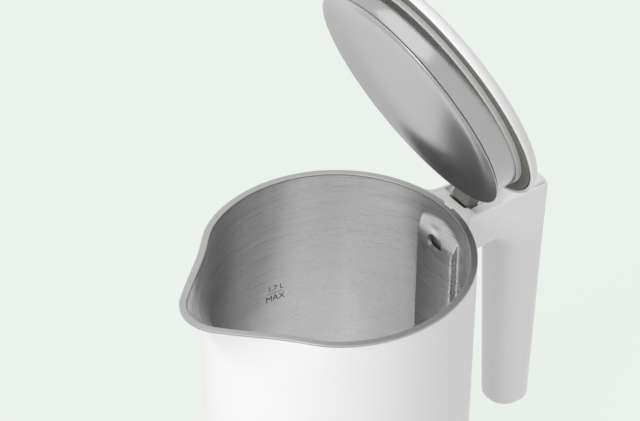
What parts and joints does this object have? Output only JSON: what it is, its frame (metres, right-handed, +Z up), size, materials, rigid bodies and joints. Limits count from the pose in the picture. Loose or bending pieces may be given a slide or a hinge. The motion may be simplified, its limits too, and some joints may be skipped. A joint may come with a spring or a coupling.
{
  "type": "electric kettle",
  "caption": "Cordless electric kettle with a steel liner, short pouring lip, one-armed handle, hinged lid standing open and a round power base.",
  "frame": {"origin": "on the vessel axis, in the plane the power base stands on", "axes": "+Z up, +X from the vessel axis towards the handle, spout at -X"},
  "size_m": [0.2318, 0.158, 0.3897],
  "materials": {
    "white_plastic": "satin moulded plastic",
    "brushed_steel": "brushed round the wall",
    "rim_steel": "satin",
    "polished_steel": "polished",
    "grey_plastic": "fine matt texture",
    "seal_rubber": "matt",
    "dark_plastic": "matt",
    "rubber": "matt",
    "brass": "plain",
    "aluminium": "cast",
    "silicone": "matt silicone",
    "lamp_plastic": "clear tinted"
  },
  "bodies": {
    "power_base": {"base_shell": "white_plastic", "base_plate": "white_plastic", "base_feet": "rubber", "base_screws": "polished_steel", "base_connector": "dark_plastic", "base_contacts": "brass", "cord_gland": "rubber"},
    "lid": {"lid_cover": "white_plastic", "lid_frame": "grey_plastic", "lid_seal": "seal_rubber", "lid_pan": "polished_steel", "lid_screws": "polished_steel"},
    "latch": {"lid_latch": "dark_plastic"},
    "button": {"release_button": "white_plastic"},
    "switch": {"switch_lever": "white_plastic"},
    "kettle": {"outer_shell": "white_plastic", "liner": "brushed_steel", "rim_band": "rim_steel", "bottom_cover": "white_plastic", "bottom_screws": "polished_steel", "heating_plate": "aluminium", "heating_element": "aluminium", "element_terminals": "brass", "thermal_control": "dark_plastic", "bimetal_disc": "brass", "kettle_connector": "dark_plastic", "connector_pins": "brass", "steam_duct": "white_plastic", "steam_collar": "silicone", "switch_housing": "dark_plastic", "switch_pin": "polished_steel", "switch_spring": "polished_steel", "indicator_lamp": "lamp_plastic", "handle_shell": "white_plastic", "handle_back": "white_plastic", "handle_screws": "polished_steel", "arm_deck": "white_plastic", "hinge_pin": "polished_steel", "hinge_spring": "polished_steel", "button_spring": "polished_steel"}
  },
  "joints": [
    {"name": "kettle_lift", "type": "slide", "parent": "power_base", "child": "kettle", "axis": [0, 0, 1], "range_m": [0, 0.08]},
    {"name": "lid_hinge", "type": "hinge", "parent": "kettle", "child": "lid", "pos_m": [0.0963, 0, 0.23], "axis": [0, 1, 0], "range_deg": [-67, 0], "stiffness_Nm_per_rad": 0.12, "springref_deg": 74.48},
    {"name": "button_press", "type": "slide", "parent": "kettle", "child": "button", "axis": [0, 0, -1], "range_m": [0, 0.0025], "stiffness_N_per_m": 400, "springref_m": -0.001, "deforming": ["button_spring"]},
    {"name": "latch_slide", "type": "slide", "parent": "kettle", "child": "latch", "axis": [1, 0, 0], "range_m": [0, 0.0025]},
    {"name": "switch_rock", "type": "hinge", "parent": "kettle", "child": "switch", "pos_m": [0.066, 0, 0.035], "axis": [0, 1, 0], "range_deg": [0, 12]}
  ],
  "couplings": [
    {"joint": "latch_slide", "follows": "button_press", "ratio": 1}
  ]
}
